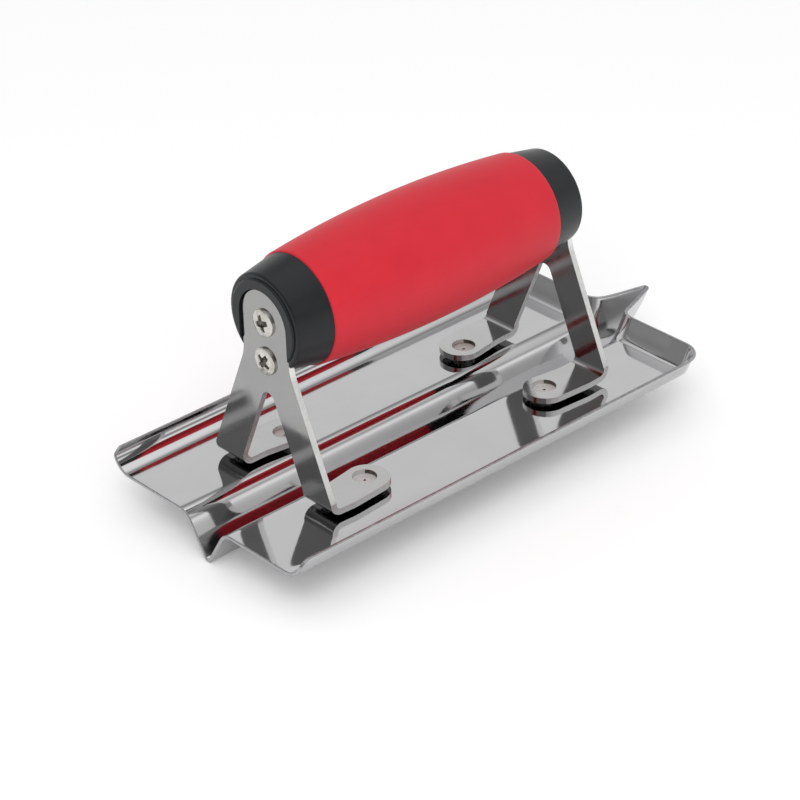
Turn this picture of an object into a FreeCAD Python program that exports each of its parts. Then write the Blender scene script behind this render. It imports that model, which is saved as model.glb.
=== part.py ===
"""Stainless hand groover: pressed V-bit blade, two bent brackets and a soft-grip barrel handle.

Frame: +X along the blade towards the turned-up spout, +Z up, millimetres.  The origin lies under
the middle of the whole length, at the height of the bottom edge of the V bit.
Heights in the sheet called "above the sole" start at the underside of the flat wings.
"""
import FreeCAD, Part
import math
import os
import Sketcher
from FreeCAD import Placement, Rotation, Vector

X_DIR = Vector(1, 0, 0)
Z_DIR = Vector(0, 0, 1)

# alias: (value in mm or degrees, what it measures)
SIZES = {
    "plate_length": (150.0, "cut end to the top edge of the end lip"),
    "plate_width": (77.6, "over the two rolled side lips"),
    "sheet_gauge": (1.0, "blade sheet thickness"),
    "bit_depth": (11.5, "sole to the bottom edge of the V bit"),
    "bit_wall_angle": (58.4, "V wall above horizontal"),
    "bit_tip_radius": (1.6, "outside radius of the bottom edge of the bit"),
    "bit_shoulder_radius": (4.5, "radius between a wing's sole and the V wall"),
    "side_lip_radius": (6.6, "outside radius of the rolled side lips"),
    "side_lip_rise": (6.6, "side lip above the sole"),
    "end_lip_rise": (7.3, "end lip above the sole"),
    "end_lip_angle": (70.0, "end lip and spout walls above horizontal"),
    "cut_corner_radius": (2.5, "corner of the cut end and a side lip, in the sheet's own plane"),
    "end_corner_radius": (6.5, "plan radius where the end lip meets a side lip"),
    "spout_reach": (17.3, "spout tip beyond the end lip"),
    "spout_taper": (18.3, "half angle of the spout's rim in plan"),
    "spout_tip_radius": (1.5, "plan radius of the spout tip"),
    "spout_root_radius": (6.0, "plan radius between the end lip and the spout"),
    "spout_rim_dip": (0.9, "how far the rim dips beside the spout"),
    "bracket_gauge": (1.8, "bracket strip thickness"),
    "bracket_span": (103.0, "outer face to outer face of the two brackets"),
    "bracket_bend": (1.5, "inside radius of the bend above a foot"),
    "tab_half_width": (9.0, "half width and top radius of the handle tab"),
    "tab_straight": (11.6, "parallel part of the tab below the barrel axis"),
    "leg_spread_angle": (23.2, "leg off vertical"),
    "leg_width": (10.35, "leg across its edges"),
    "crotch_radius": (2.6, "radius at the top of the gap between the legs"),
    "foot_reach": (24.4, "foot tip inward from the bracket's outer face"),
    "foot_tip_radius": (6.0, "radius of the foot's two end corners"),
    "foot_inner_edge": (9.7, "inner edge of the foot end from the centre plane"),
    "foot_outer_edge": (22.8, "outer edge of the foot end from the centre plane"),
    "weld_offset": (18.0, "weld boss centre inward from the bracket's outer face"),
    "weld_spread": (16.2, "weld boss centre from the centre plane"),
    "boss_radius": (3.6, "weld boss pressed down from the foot"),
    "boss_height": (1.2, "foot underside above the wing"),
    "recess_radius": (3.35, "recess above the weld boss"),
    "dimple_radius": (0.4, "centre mark in the recess"),
    "dimple_depth": (0.3, "depth of the centre mark"),
    "grip_height": (51.1, "barrel axis above the sole"),
    "grip_length": (104.1, "end to end of the barrel"),
    "grip_shift": (0.2, "the barrel sits this far towards the cut end between the brackets"),
    "grip_radius": (18.2, "barrel radius at the middle"),
    "sleeve_end_radius": (15.8, "sleeve radius at its two ends"),
    "core_end_radius": (13.5, "hard end's radius beside its ring"),
    "end_ring_depth": (0.6, "ring at each end of the barrel stands out this far"),
    "end_ring_step": (1.3, "the ring is this much smaller than the barrel"),
    "end_ring_round": (0.5, "rounding of the ring"),
    "barrel_edge": (0.9, "rounding of the barrel beside a ring"),
    "sleeve_length": (81.3, "soft sleeve between the hard ends"),
    "sleeve_step": (0.4, "the sleeve stands proud of the hard ends"),
    "sleeve_bore": (13.9, "radius of the core under the sleeve"),
    "sleeve_edge": (0.4, "rounding of the sleeve's end edges"),
    "pocket_clearance": (0.3, "around the tab in the end pocket"),
    "screw_spacing": (11.3, "between the two screws of a bracket"),
    "screw_head_radius": (3.9, "pan head"),
    "screw_head_height": (1.3, "pan head"),
    "screw_shank_radius": (1.9, "shank in the core"),
    "screw_length": (16.0, "under the head"),
    "screw_hole_radius": (2.3, "clearance hole in the tab"),
    "pilot_radius": (1.95, "pilot hole in the core"),
    "driver_slot": (1.2, "width of one arm of the cross recess"),
    "driver_span": (4.4, "tip to tip of the cross recess"),
    "driver_depth": (1.1, "depth of the cross recess"),
}
BEND_MARGIN = 0.5         # upright part of a leg's edges above its bend
SHEET_NAME = "sizes"


def make_sheet(doc):
    """Spreadsheet with one named cell for each driving dimension."""
    sheet = doc.addObject("Spreadsheet::Sheet", SHEET_NAME)
    for row, (alias, (value, note)) in enumerate(SIZES.items(), start=1):
        sheet.set(f"A{row}", alias)
        sheet.set(f"B{row}", str(value))
        sheet.set(f"C{row}", note)
        sheet.setAlias(f"B{row}", alias)
    doc.recompute()
    return sheet


def cell(alias):
    """Expression that reads one dimension of the sheet."""
    return f"{SHEET_NAME}.{alias}"


class Layout:
    """Places that follow from the driving dimensions."""

    def __init__(self, sheet):
        self.sheet = sheet
        self.sole = sheet.bit_depth
        self.wing_top = self.sole + sheet.sheet_gauge
        self.middle = -sheet.spout_reach / 2
        self.foot_bottom = self.wing_top + sheet.boss_height
        self.foot_top = self.foot_bottom + sheet.bracket_gauge
        self.axis_height = self.sole + sheet.grip_height
        self.outer_face = sheet.bracket_span / 2
        self.inner_face = self.outer_face - sheet.bracket_gauge
        self.lower_screw = self.axis_height - sheet.screw_spacing
        self.bend_top = self.foot_top + sheet.bracket_bend + BEND_MARGIN

    def barrel_radius(self, start, end=None):
        """Parabolic crown: the radius at a distance from the middle, or the pole between two of them."""
        end = start if end is None else end
        drop = self.sheet.grip_radius - self.sheet.sleeve_end_radius
        return self.sheet.grip_radius - drop * start * end / (self.sheet.sleeve_length / 2) ** 2


# ---------------------------------------------------------------- sketch helpers

def origin_plane(body, role):
    """One of a body's own origin planes."""
    return next(f for f in body.Origin.OriginFeatures if f.Role == role)


def new_sketch(body, name, role, offset=0.0, height=0.0):
    """Sketch on one of the body's origin planes, shifted along the plane's normal and up the plane."""
    sketch = body.newObject("Sketcher::SketchObject", name)
    sketch.AttachmentSupport = [(origin_plane(body, role), "")]
    sketch.MapMode = "FlatFace"
    sketch.AttachmentOffset = Placement(Vector(0, height, offset), Rotation())
    return sketch


def sketch_arc(centre, start, end):
    """Arc of less than half a turn between two points, run anticlockwise as a sketch stores it."""
    if (start - centre).cross(end - centre).z < 0:
        start, end = end, start
    angles = [math.atan2(p.y - centre.y, p.x - centre.x) for p in (start, end)]
    if angles[1] < angles[0]:
        angles[1] += 2 * math.pi
    circle = Part.Circle(centre, Z_DIR, start.distanceToPoint(centre))
    return Part.ArcOfCircle(circle, *angles)


def rounded_outline(corners):
    """Closed outline of lines and tangent arcs from (x, y, radius) corners."""
    count = len(corners)
    entries = []
    for index, (x, y, radius) in enumerate(corners):
        here = Vector(x, y, 0)
        before = Vector(*corners[index - 1][:2], 0) - here
        after = Vector(*corners[(index + 1) % count][:2], 0) - here
        before.normalize()
        after.normalize()
        if radius == 0:
            entries.append((here, None, here))
            continue
        half = before.getAngle(after) / 2
        setback = radius / math.tan(half)
        inward = before + after
        inward.normalize()
        centre = here + inward * (radius / math.sin(half))
        entries.append((here + before * setback, centre, here + after * setback))
    pieces = []
    for index, (start, centre, end) in enumerate(entries):
        if centre is not None:
            pieces.append(sketch_arc(centre, start, end))
        following = entries[(index + 1) % count][0]
        if end.distanceToPoint(following) > 1e-6:
            pieces.append(Part.LineSegment(end, following))
    return pieces


def join_ends(sketch):
    """Coincident constraints wherever two pieces of the outline share an end."""
    ends = []
    for index, piece in enumerate(sketch.Geometry):
        if isinstance(piece, Part.Circle):
            continue
        for side, point in ((1, piece.StartPoint), (2, piece.EndPoint)):
            match = next((e for e in ends if e[2].distanceToPoint(point) < 1e-5), None)
            if match:
                sketch.addConstraint(Sketcher.Constraint("Coincident", match[0], match[1], index, side))
                ends.remove(match)
            else:
                ends.append((index, side, point))


def add_circle(sketch, centre, radius_cell):
    """Circle held at its centre, with its radius bound to the sheet."""
    radius = getattr(sketch.Document.getObject(SHEET_NAME), radius_cell)
    index = sketch.addGeometry(Part.Circle(Vector(*centre, 0), Z_DIR, radius), False)
    constraint = sketch.addConstraint(Sketcher.Constraint("Radius", index, radius))
    sketch.setExpression(f"Constraints[{constraint}]", cell(radius_cell))
    for kind, value in (("DistanceX", centre[0]), ("DistanceY", centre[1])):
        sketch.addConstraint(Sketcher.Constraint(kind, -1, 1, index, 3, value))
    return index


def pad(body, name, sketch, length=None, length_cell=None, reverse=False):
    """Pad a sketch by a number or by a cell of the sheet."""
    feature = body.newObject("PartDesign::Pad", name)
    feature.Profile = sketch
    feature.Reversed = reverse
    if length_cell:
        feature.setExpression("Length", cell(length_cell))
    else:
        feature.Length = length
    body.Document.recompute()
    return feature


def pocket(body, name, sketch, length=None, length_cell=None, reverse=False):
    """Pocket a sketch and make sure that it removed material."""
    before = body.Shape.Volume
    feature = body.newObject("PartDesign::Pocket", name)
    feature.Profile = sketch
    feature.Reversed = reverse
    if length_cell:
        feature.setExpression("Length", cell(length_cell))
    else:
        feature.Length = length
    body.Document.recompute()
    if body.Shape.Volume >= before:
        raise RuntimeError(f"{body.Label}: {name} cut nothing")
    return feature


def fillet(body, name, radius, wanted):
    """Fillet the edges of the body's tip that pass a test."""
    base = body.Tip
    names = [f"Edge{i}" for i, edge in enumerate(base.Shape.Edges, start=1) if wanted(edge)]
    feature = body.newObject("PartDesign::Fillet", name)
    feature.Base = (base, names)
    feature.Radius = radius
    body.Document.recompute()
    return feature


def new_body(doc, label):
    body = doc.addObject("PartDesign::Body", label)
    body.Label = label
    return body


# ---------------------------------------------------------------- blade

def arc_points(centre, radius, start, end, steps):
    """Points (a, b) and outward directions along an arc given in degrees, ends included."""
    points = []
    for step in range(steps + 1):
        angle = math.radians(start + (end - start) * step / steps)
        out = (math.cos(angle), math.sin(angle))
        points.append((centre[0] + radius * out[0], centre[1] + radius * out[1], out))
    return points


def line_points(start, end, out, steps):
    """Inner points of a line, with one outward direction."""
    points = []
    for step in range(1, steps):
        share = step / steps
        points.append((start[0] + (end[0] - start[0]) * share, start[1] + (end[1] - start[1]) * share, out))
    return points


ARC_STEPS = {"tip": 5, "shoulder": 6, "lip": 9}
LINE_STEPS = {"wall": 4, "wing": 5}


def half_section(size):
    """Sole side of the blade from the bit's bottom edge to a side lip: (y, height above the sole)."""
    wall = size.bit_wall_angle
    lean = math.radians(wall)
    tip = arc_points((0, size.bit_tip_radius - size.bit_depth), size.bit_tip_radius, -90, wall - 90,
                     ARC_STEPS["tip"])
    rise = size.bit_shoulder_radius * (1 - math.cos(lean))
    wall_start = tip[-1]
    wall_run = (-rise - wall_start[1]) / math.tan(lean)
    wall_end = (wall_start[0] + wall_run, -rise)
    shoulder_y = wall_end[0] + size.bit_shoulder_radius * math.sin(lean)
    shoulder = arc_points((shoulder_y, -size.bit_shoulder_radius), size.bit_shoulder_radius, 90 + wall, 90,
                          ARC_STEPS["shoulder"])
    sweep = math.degrees(math.acos(1 - size.side_lip_rise / size.side_lip_radius))
    lip_y = size.plate_width / 2 - size.side_lip_radius * math.sin(math.radians(sweep))
    lip = arc_points((lip_y, size.side_lip_radius), size.side_lip_radius, -90, sweep - 90, ARC_STEPS["lip"])
    walls = line_points(wall_start, shoulder[0], None, LINE_STEPS["wall"])
    wing = line_points(shoulder[-1], lip[0], None, LINE_STEPS["wing"])
    return tip + walls + shoulder + wing + lip


def half_rim(size):
    """Top edge of the closed end in plan, from the spout tip to a side lip: (x, y, outward).

    x starts at the middle of the plate.  The pieces pair off with those of half_section.
    """
    lip_x = size.plate_length / 2
    taper = math.radians(size.spout_taper)
    side = (math.sin(taper), math.cos(taper))
    tip_centre = lip_x + size.spout_reach - size.spout_tip_radius
    tip = arc_points((tip_centre, 0), size.spout_tip_radius, 0, 90 - size.spout_taper, ARC_STEPS["tip"])
    root_x = lip_x + size.spout_root_radius
    along = (tip[-1][0] - root_x + size.spout_root_radius * side[0]) / math.cos(taper)
    root_start = (tip[-1][0] - along * math.cos(taper), tip[-1][1] + along * math.sin(taper))
    root_centre = (root_x, root_start[1] + size.spout_root_radius * side[1])
    root_turn = 270 - size.spout_taper
    root = arc_points(root_centre, size.spout_root_radius, root_turn, 180, ARC_STEPS["shoulder"])
    root = [(x, y, (-out[0], -out[1])) for x, y, out in root]
    corner_centre = (lip_x - size.end_corner_radius, size.plate_width / 2 - size.end_corner_radius)
    corner = arc_points(corner_centre, size.end_corner_radius, 0, 90, ARC_STEPS["lip"])
    walls = line_points(tip[-1], root[0], side, LINE_STEPS["wall"])
    lip = line_points(root[-1], corner[0], (1, 0), LINE_STEPS["wing"])
    return tip + walls + root + lip + corner


def blend(low, high, share):
    return low + (high - low) * share


def smooth(share):
    """Ease from 0 to 1 with level ends."""
    return share * share * (3 - 2 * share)


def rim_height(size, x, y):
    """Height of the closed end's top edge above the sole."""
    lip_x = size.plate_length / 2
    corner = max(0.0, (y - size.plate_width / 2 + size.end_corner_radius) / size.end_corner_radius)
    height = blend(size.end_lip_rise, size.side_lip_rise, smooth(min(corner, 1.0)))
    beyond = max(0.0, x - lip_x) / size.spout_root_radius
    return height - size.spout_rim_dip * beyond * math.exp(1 - beyond)


NOSE_STEPS = 14           # curve steps from the straight run to the rim
FOLD_RUN = 2.6            # fold of the wing starts this far before the lip's foot
FOLD_EASE = (2.1, 5.6)    # curve handles of the fold on the flat wing
KEEL_RUN = 30.0           # keel starts to rise this far behind the spout tip
KEEL_EASE = (14.0, 7.6)   # curve handles of the keel
CORNER_RUN = 5.5          # side lip's last straight stretch
CORNER_EASE = (1.8, 1.8)


def nose_curve(size, section_point, rim_point):
    """Points of one line of the sole side, from the straight run up to the rim."""
    y, height = section_point[:2]
    rim_x, rim_y, out = rim_point
    rim_z = rim_height(size, rim_x, rim_y)
    lean = math.radians(size.end_lip_angle)
    lip_x = size.plate_length / 2
    fold_x = lip_x - size.end_lip_rise / math.tan(lean) - FOLD_RUN
    depth = min(max(-height / size.bit_depth, 0.0), 1.0)
    side = min(max(height / size.side_lip_rise, 0.0), 1.0)
    start_x = blend(fold_x, lip_x + size.spout_reach - KEEL_RUN, depth)
    start_x = blend(start_x, lip_x - size.end_corner_radius - CORNER_RUN, side)
    ease = [blend(blend(FOLD_EASE[i], KEEL_EASE[i], depth), CORNER_EASE[i], side) for i in (0, 1)]
    upward = Vector(out[0] * math.cos(lean), out[1] * math.cos(lean), math.sin(lean))
    heading = upward * (1 - side) + X_DIR * side
    heading.normalize()
    start = Vector(start_x, y, height)
    end = Vector(rim_x, rim_y, rim_z)
    bezier = Part.BezierCurve()
    bezier.setPoles([start, start + X_DIR * ease[0], end - heading * ease[1], end])
    return [bezier.value(step / NOSE_STEPS) for step in range(NOSE_STEPS + 1)]


STRAIGHT_STEPS = 3
DEGREE = 3                # of the blade's splines


def cut_setback(size, height):
    """How far the cut end is rounded back at a height above the sole."""
    lean = math.acos(1 - size.side_lip_rise / size.side_lip_radius)
    here = math.acos(1 - max(height, 0.0) / size.side_lip_radius)
    inward = max(0.0, size.cut_corner_radius - (lean - here) * size.side_lip_radius)
    return size.cut_corner_radius - math.sqrt(size.cut_corner_radius ** 2 - inward ** 2)


def sole_net(size):
    """Net of points of the blade's sole side: rows run from the cut end to the rim."""
    half = []
    for section_point, rim_point in zip(half_section(size), half_rim(size)):
        nose = nose_curve(size, section_point, rim_point)
        cut = Vector(cut_setback(size, nose[0].z) - size.plate_length / 2, nose[0].y, nose[0].z)
        run = [cut + (nose[0] - cut) * (step / STRAIGHT_STEPS) for step in range(STRAIGHT_STEPS)]
        half.append(run + nose)
    other = [[Vector(p.x, -p.y, p.z) for p in row] for row in half[:0:-1]]
    return other + half


def net_normals(net):
    """Unit normals of a net, on the side away from the sole."""
    rows, columns = len(net), len(net[0])
    normals = []
    for i in range(rows):
        line = []
        for j in range(columns):
            across = net[min(i + 1, rows - 1)][j] - net[max(i - 1, 0)][j]
            along = net[i][min(j + 1, columns - 1)] - net[i][max(j - 1, 0)]
            normal = along.cross(across)
            normal.normalize()
            line.append(normal)
        normals.append(line)
    return normals


def spline_surface(net, degree):
    """Surface whose control points are a net of points, with one knot span per step."""
    rows, columns = len(net), len(net[0])
    knots = []
    for count, order in ((rows, degree[0]), (columns, degree[1])):
        inner = count - order - 1
        knots.append(([order + 1] + [1] * inner + [order + 1], list(range(inner + 2))))
    surface = Part.BSplineSurface()
    surface.buildFromPolesMultsKnots(net, knots[0][0], knots[1][0], knots[0][1], knots[1][1],
                                     False, False, degree[0], degree[1])
    return surface


def panels(net, degree, row_cuts, column_cuts, flat=()):
    """Faces of a spline surface cut at some of its knots; those named in flat become plane faces."""
    faces = []
    for i, rows in enumerate(zip(row_cuts, row_cuts[1:])):
        for j, columns in enumerate(zip(column_cuts, column_cuts[1:])):
            patch = spline_surface(net, degree)
            patch.segment(*rows, *columns)
            if (i, j) in flat:
                loop = ((0, 0), (1, 0), (1, 1), (0, 1), (0, 0))
                corners = [patch.value(rows[a], columns[b]) for a, b in loop]
                faces.append(Part.Face(Part.makePolygon(corners)))
            else:
                faces.append(patch.toShape())
    return faces


def make_blade(doc, place):
    """One pressed sheet: V bit, two wings, rolled side lips, end lip and turned-up spout."""
    size = place.sheet
    sole = sole_net(size)
    normals = net_normals(sole)
    top = [[p + n * size.sheet_gauge for p, n in zip(*rows)] for rows in zip(sole, normals)]
    last = len(sole) - DEGREE
    wing_start = len(sole) // 2 + ARC_STEPS["tip"] + LINE_STEPS["wall"] + ARC_STEPS["shoulder"]
    wing_end = wing_start + LINE_STEPS["wing"] + 1 - DEGREE
    row_cuts = [0, last - wing_end, last - wing_start, wing_start, wing_end, last]
    column_cuts = [0, 1, len(sole[0]) - DEGREE]
    faces = panels(sole, (DEGREE, DEGREE), row_cuts, column_cuts, flat=[(1, 0), (3, 0)])
    faces += panels(top, (DEGREE, DEGREE), row_cuts, column_cuts)
    for edge in (0, -1):
        faces += panels([sole[edge], top[edge]], (1, DEGREE), [0, 1], column_cuts)
        across = [[row[edge] for row in sole], [row[edge] for row in top]]
        faces += panels(across, (1, DEGREE), [0, 1], row_cuts)
    shell = Part.makeShell(faces)
    shell.sewShape()
    solid = Part.makeSolid(Part.Shell(shell.Faces))
    if solid.Volume < 0:
        solid.reverse()
    blade = doc.addObject("Part::Feature", "blade")
    blade.Shape = solid
    blade.Placement = Placement(Vector(place.middle, 0, place.sole), Rotation())
    return blade


# ---------------------------------------------------------------- brackets

BLANK_HALF_WIDTH = 30.0   # of the strip that a bracket is cut from
KNEE_RADIUS = 12.0        # where the tab's sides turn into the legs
FLANK_RADIUS = 14.0       # where a leg's edges turn into the foot's


def leg_edges(place):
    """Inner and outer edge of a leg above its bend, and the top of the gap between the legs."""
    size = place.sheet
    slope = math.tan(math.radians(size.leg_spread_angle))
    knee = place.axis_height - size.tab_straight
    outer = size.tab_half_width + (knee - place.bend_top) * slope
    inner = outer - size.leg_width / math.cos(math.radians(size.leg_spread_angle))
    return inner, outer, knee, place.bend_top + inner / slope


def bent_blank(place):
    """Upright strip, bend and foot strip seen along Y, for the bracket at -X: (x, z, radius)."""
    size = place.sheet
    top = place.axis_height + size.tab_half_width
    return [
        (-place.outer_face, top, 0),
        (-place.outer_face, place.foot_bottom, size.bracket_bend + size.bracket_gauge),
        (0, place.foot_bottom, 0),
        (0, place.foot_top, 0),
        (-place.inner_face, place.foot_top, size.bracket_bend),
        (-place.inner_face, top, 0),
    ]


def outside_of_legs(place):
    """Waste around the tab and legs, above the bends: (y, z, radius)."""
    size = place.sheet
    _, outer, knee, _ = leg_edges(place)
    top = place.axis_height + size.tab_half_width
    half = [(outer, place.bend_top, 0), (size.tab_half_width, knee, KNEE_RADIUS),
            (size.tab_half_width, top, size.tab_half_width)]
    mirrored = [(-y, z, radius) for y, z, radius in reversed(half)]
    far = 2 * BLANK_HALF_WIDTH
    around = [(-far, place.bend_top, 0), (-far, top + far, 0), (far, top + far, 0), (far, place.bend_top, 0)]
    return half + mirrored + around


def between_legs(place):
    """Gap between the legs, above the bends: (y, z, radius)."""
    inner, _, _, crotch = leg_edges(place)
    return [(inner, place.bend_top, 0), (0, crotch, place.sheet.crotch_radius), (-inner, place.bend_top, 0)]


def foot_outline(place, side):
    """One foot from above, with the leg's root beyond the bend: (x, y, radius)."""
    size = place.sheet
    inner, outer, _, _ = leg_edges(place)
    back = -place.outer_face - size.bracket_gauge
    tip = size.foot_reach - place.outer_face
    flank = size.foot_reach / 3 - place.outer_face
    return [
        (back, side * inner, 0),
        (flank, side * inner, FLANK_RADIUS),
        (tip, side * size.foot_inner_edge, size.foot_tip_radius),
        (tip, side * size.foot_outer_edge, size.foot_tip_radius),
        (flank, side * (outer + size.bracket_gauge / 3), FLANK_RADIUS),
        (back, side * outer, 0),
    ]


def make_bracket(doc, place, label, rotation):
    """Bent strip: tab with two screw holes, two legs, two feet with pressed weld bosses."""
    size = place.sheet
    body = new_body(doc, label)
    blank = new_sketch(body, f"{label}_blank_profile", "XZ_Plane")
    blank.addGeometry(rounded_outline(bent_blank(place)), False)
    join_ends(blank)
    strip = pad(body, f"{label}_blank", blank, length=2 * BLANK_HALF_WIDTH)
    strip.Midplane = True
    doc.recompute()
    face = new_sketch(body, f"{label}_face", "YZ_Plane")
    face.addGeometry(rounded_outline(outside_of_legs(place)), False)
    face.addGeometry(rounded_outline(between_legs(place)), False)
    join_ends(face)
    pocket(body, f"{label}_legs", face, length=2 * place.outer_face)
    holes = new_sketch(body, f"{label}_screw_circles", "YZ_Plane")
    for height in (place.axis_height, place.lower_screw):
        add_circle(holes, (0, height), "screw_hole_radius")
    pocket(body, f"{label}_screw_holes", holes, length=2 * place.outer_face)
    feet = new_sketch(body, f"{label}_feet", "XY_Plane", place.bend_top)
    far = 2 * place.outer_face
    frame = [(-far, -far, 0), (far, -far, 0), (far, far, 0), (-far, far, 0)]
    feet.addGeometry(rounded_outline(frame), False)
    for side in (-1, 1):
        feet.addGeometry(rounded_outline(foot_outline(place, side)), False)
    join_ends(feet)
    pocket(body, f"{label}_foot_outlines", feet, length=place.bend_top)
    weld_x = size.weld_offset - place.outer_face
    bosses = new_sketch(body, f"{label}_boss_circles", "XY_Plane", place.foot_bottom)
    recesses = new_sketch(body, f"{label}_recess_circles", "XY_Plane", place.foot_top)
    dimples = new_sketch(body, f"{label}_dimple_circles", "XY_Plane", place.foot_top - size.boss_height)
    for side in (-1, 1):
        centre = (weld_x, side * size.weld_spread)
        add_circle(bosses, centre, "boss_radius")
        add_circle(recesses, centre, "recess_radius")
        add_circle(dimples, centre, "dimple_radius")
    pad(body, f"{label}_bosses", bosses, length_cell="boss_height", reverse=True)
    pocket(body, f"{label}_recesses", recesses, length_cell="boss_height")
    pocket(body, f"{label}_dimples", dimples, length_cell="dimple_depth")
    body.Placement = Placement(Vector(place.middle, 0, 0), rotation)
    return body


# ---------------------------------------------------------------- handle

def crown(place, start, end):
    """Barrel outline between two distances along the axis, as a three-pole spline."""
    poles = [Vector(start, place.barrel_radius(start), 0),
             Vector((start + end) / 2, place.barrel_radius(start, end), 0),
             Vector(end, place.barrel_radius(end), 0)]
    outline = Part.BSplineCurve()
    outline.buildFromPolesMultsKnots(poles, [3, 3], [0, 1], False, 2)
    return outline


def revolve(body, name, sketch):
    """Full turn about the sketch's own horizontal axis."""
    feature = body.newObject("PartDesign::Revolution", name)
    feature.Profile = sketch
    feature.ReferenceAxis = (sketch, ["H_Axis"])
    feature.Angle = 360
    body.Document.recompute()
    return feature


def polyline(points):
    return [Part.LineSegment(Vector(*a, 0), Vector(*b, 0)) for a, b in zip(points, points[1:])]


def circular(edge, x):
    """True for a full circle about the barrel axis at x."""
    return (isinstance(edge.Curve, Part.Circle) and abs(edge.Curve.Center.x - x) < 1e-4
            and abs(edge.Curve.Axis.x) > 0.999)


def tab_pocket_outline(place):
    """Pocket for the tab, open downwards."""
    size = place.sheet
    half = size.tab_half_width + size.pocket_clearance
    top = place.axis_height + half
    bottom = place.axis_height - 2 * size.grip_radius
    return [(-half, top, half), (half, top, half), (half, bottom, 0), (-half, bottom, 0)]


def make_core(doc, place):
    """Hard core with both exposed ends, a pocket for each tab and four pilot holes."""
    size = place.sheet
    body = new_body(doc, "grip_core")
    end, shoulder, neck = size.grip_length / 2, size.sleeve_length / 2, size.sleeve_bore
    rim, edge = size.core_end_radius, size.sleeve_end_radius - size.sleeve_step
    profile = new_sketch(body, "core_profile", "XZ_Plane", height=place.axis_height)
    side, ring = end - size.end_ring_depth, rim - size.end_ring_step
    half = [(shoulder, neck, 0), (shoulder, edge, 0), (side, rim, size.barrel_edge), (side, ring, 0),
            (end, ring, size.end_ring_round), (end, 0, 0)]
    mirrored = [(-x, radius, rounding) for x, radius, rounding in reversed(half)]
    profile.addGeometry(rounded_outline(half + mirrored), False)
    join_ends(profile)
    revolve(body, "core_turned", profile)
    for name, sign in (("front", -1), ("rear", 1)):
        floor = place.inner_face + sign * size.grip_shift
        seat = new_sketch(body, f"{name}_seat", "YZ_Plane", sign * end)
        seat.addGeometry(rounded_outline(tab_pocket_outline(place)), False)
        join_ends(seat)
        pocket(body, f"{name}_tab_pocket", seat, length=end - floor, reverse=sign < 0)
        pilots = new_sketch(body, f"{name}_pilots", "YZ_Plane", sign * floor)
        for height in (place.axis_height, place.lower_screw):
            add_circle(pilots, (0, height), "pilot_radius")
        pocket(body, f"{name}_pilot_holes", pilots, length_cell="screw_length", reverse=sign < 0)
    body.Placement = Placement(Vector(place.middle - size.grip_shift, 0, 0), Rotation())
    return body


def make_sleeve(doc, place):
    """Soft crowned sleeve moulded over the core."""
    size = place.sheet
    body = new_body(doc, "grip_sleeve")
    shoulder, neck = size.sleeve_length / 2, size.sleeve_bore
    edge = size.sleeve_end_radius
    profile = new_sketch(body, "sleeve_profile", "XZ_Plane", height=place.axis_height)
    lines = polyline([(-shoulder, edge), (-shoulder, neck), (shoulder, neck), (shoulder, edge)])
    profile.addGeometry(lines + [crown(place, -shoulder, shoulder)], False)
    join_ends(profile)
    revolve(body, "sleeve_turned", profile)
    fillet(body, "sleeve_edge_round", size.sleeve_edge,
           lambda e: ((circular(e, -shoulder) or circular(e, shoulder))
                      and e.Curve.Radius > size.sleeve_bore + 1))
    body.Placement = Placement(Vector(place.middle - size.grip_shift, 0, 0), Rotation())
    return body


# ---------------------------------------------------------------- screws

def make_screw(doc, place, label, height, rotation):
    """Pan-head screw with a cross recess: its head lies on the outer face of a tab at -X."""
    size = place.sheet
    body = new_body(doc, label)
    head, shank = size.screw_head_radius, size.screw_shank_radius
    rise, length = size.screw_head_height, size.screw_length
    rim = rise * 0.45
    profile = new_sketch(body, f"{label}_profile", "XY_Plane")
    lines = polyline([(-rise, 0), (length, 0), (length - shank, shank), (0, shank), (0, head), (-rim, head)])
    crown = (head ** 2 + (rise - rim) ** 2) / (2 * (rise - rim))
    dome = sketch_arc(Vector(crown - rise, 0, 0), Vector(-rim, head, 0), Vector(-rise, 0, 0))
    profile.addGeometry(lines + [dome], False)
    join_ends(profile)
    revolve(body, f"{label}_turned", profile)
    half_span, half_slot = size.driver_span / 2, size.driver_slot / 2
    recess = new_sketch(body, f"{label}_recess", "YZ_Plane", -rise)
    corners = []
    for quarter in range(4):
        turn = Rotation(Z_DIR, 90 * quarter + 20)
        for y, z in ((half_span, -half_slot), (half_span, half_slot), (half_slot, half_slot)):
            point = turn.multVec(Vector(y, z, 0))
            corners.append((point.x, point.y, 0))
    recess.addGeometry(rounded_outline(corners), False)
    join_ends(recess)
    pocket(body, f"{label}_cross_recess", recess, length_cell="driver_depth", reverse=True)
    offset = rotation.multVec(Vector(-place.outer_face, 0, 0))
    body.Placement = Placement(offset + Vector(place.middle, 0, height), rotation)
    return body


# ---------------------------------------------------------------- document

def check(doc, nodes):
    """Stop on any failed feature or invalid sub-part."""
    for item in doc.Objects:
        if {"Invalid", "Error"} & set(item.State):
            raise RuntimeError(f"{item.Label} failed: {item.State}")
    for node in nodes:
        shape = node.Shape
        if shape.isNull() or not shape.isValid() or not shape.Solids:
            raise RuntimeError(f"{node.Label} is not a valid solid")


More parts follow.
